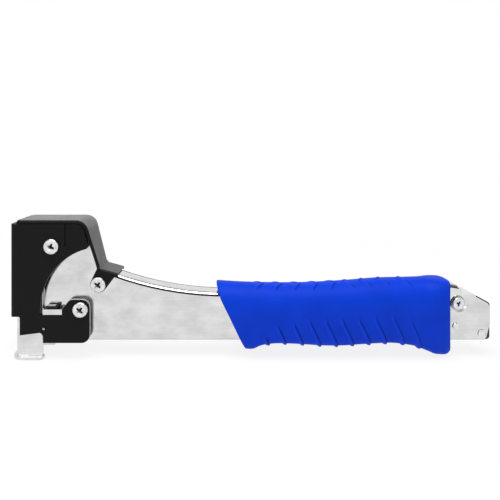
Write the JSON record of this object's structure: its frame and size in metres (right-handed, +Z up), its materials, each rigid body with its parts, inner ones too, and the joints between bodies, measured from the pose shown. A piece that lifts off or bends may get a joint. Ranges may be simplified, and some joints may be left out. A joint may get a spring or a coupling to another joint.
{
  "type": "hammer tacker",
  "caption": "Hammer tacker: steel handle with a moulded grip, a painted head and a sprung nose that fires a staple when the head strikes the work.",
  "frame": {"origin": "centre of the bounding box in X and Y, on the underside of the nose's foot", "axes": "+X along the handle from the head to its free end, +Z up from the foot through the head, +Y to the tool's right side with the nuts"},
  "size_m": [0.3006, 0.0309, 0.0868],
  "materials": {
    "nickel_plate": "satin nickel plate over steel sheet",
    "black_paint": "satin black powder coat on steel sheet",
    "blue_grip": "satin moulded rubber",
    "black_rubber": "matt",
    "black_plastic": "moulded, satin",
    "hardened_steel": "ground",
    "zinc_fasteners": "bright zinc plate"
  },
  "bodies": {
    "frame": {"handle_channel": "nickel_plate", "handle_top_channel": "nickel_plate", "grip": "blue_grip", "head_channel": "black_paint", "hood": "black_paint", "upper_screw": "zinc_fasteners", "upper_nut": "zinc_fasteners", "upper_sleeve": "hardened_steel", "lower_screw": "zinc_fasteners", "lower_nut": "zinc_fasteners", "lower_sleeve": "hardened_steel", "tab_screw": "zinc_fasteners", "tab_nut": "zinc_fasteners", "tab_sleeve": "hardened_steel", "upper_spacer_left": "zinc_fasteners", "upper_spacer_right": "zinc_fasteners", "lower_spacer_left": "zinc_fasteners", "lower_spacer_right": "zinc_fasteners", "rear_screw": "zinc_fasteners", "rear_nut": "zinc_fasteners", "rear_sleeve": "hardened_steel", "front_rivet_left": "zinc_fasteners", "front_rivet_right": "zinc_fasteners", "rear_rivet_left": "zinc_fasteners", "rear_rivet_right": "zinc_fasteners", "guide_pin_left": "zinc_fasteners", "guide_pin_right": "zinc_fasteners", "spring_seat": "hardened_steel", "return_spring": "zinc_fasteners", "magazine_channel": "zinc_fasteners", "magazine_core": "hardened_steel"},
    "nose": {"nose_shoe": "nickel_plate", "nose_bumper_left": "black_rubber", "nose_bumper_right": "black_rubber", "nose_pin": "hardened_steel", "lifter": "hardened_steel", "lift_pin": "hardened_steel"},
    "rocker": {"rocker_lever": "hardened_steel"},
    "driver": {"driver_blade": "hardened_steel"},
    "drawer": {"drawer_end": "black_plastic", "pusher_rod": "zinc_fasteners", "pusher_spring": "zinc_fasteners"},
    "pusher": {"pusher": "hardened_steel"}
  },
  "joints": [
    {"name": "nose_slide", "type": "slide", "parent": "frame", "child": "nose", "axis": [0, 0, 1], "range_m": [0, 0.01], "stiffness_N_per_m": 1500, "springref_m": -0.012, "deforming": ["return_spring"]},
    {"name": "rocker_hinge", "type": "hinge", "parent": "frame", "child": "rocker", "pos_m": [-0.12435, 0, 0.0706], "axis": [0, -1, 0], "range_deg": [0, 44.5]},
    {"name": "driver_slide", "type": "slide", "parent": "frame", "child": "driver", "axis": [0, 0, -1], "range_m": [0, 0.014]},
    {"name": "drawer_slide", "type": "slide", "parent": "frame", "child": "drawer", "axis": [1, 0, 0], "range_m": [0, 0.15]},
    {"name": "pusher_slide", "type": "slide", "parent": "drawer", "child": "pusher", "axis": [1, 0, 0], "range_m": [0, 0.12], "stiffness_N_per_m": 60, "springref_m": -0.05, "deforming": ["pusher_spring"]}
  ],
  "couplings": [
    {"joint": "rocker_hinge", "follows": "nose_slide", "rad_per_m": 77.5},
    {"joint": "driver_slide", "follows": "nose_slide", "ratio": 1.39}
  ]
}
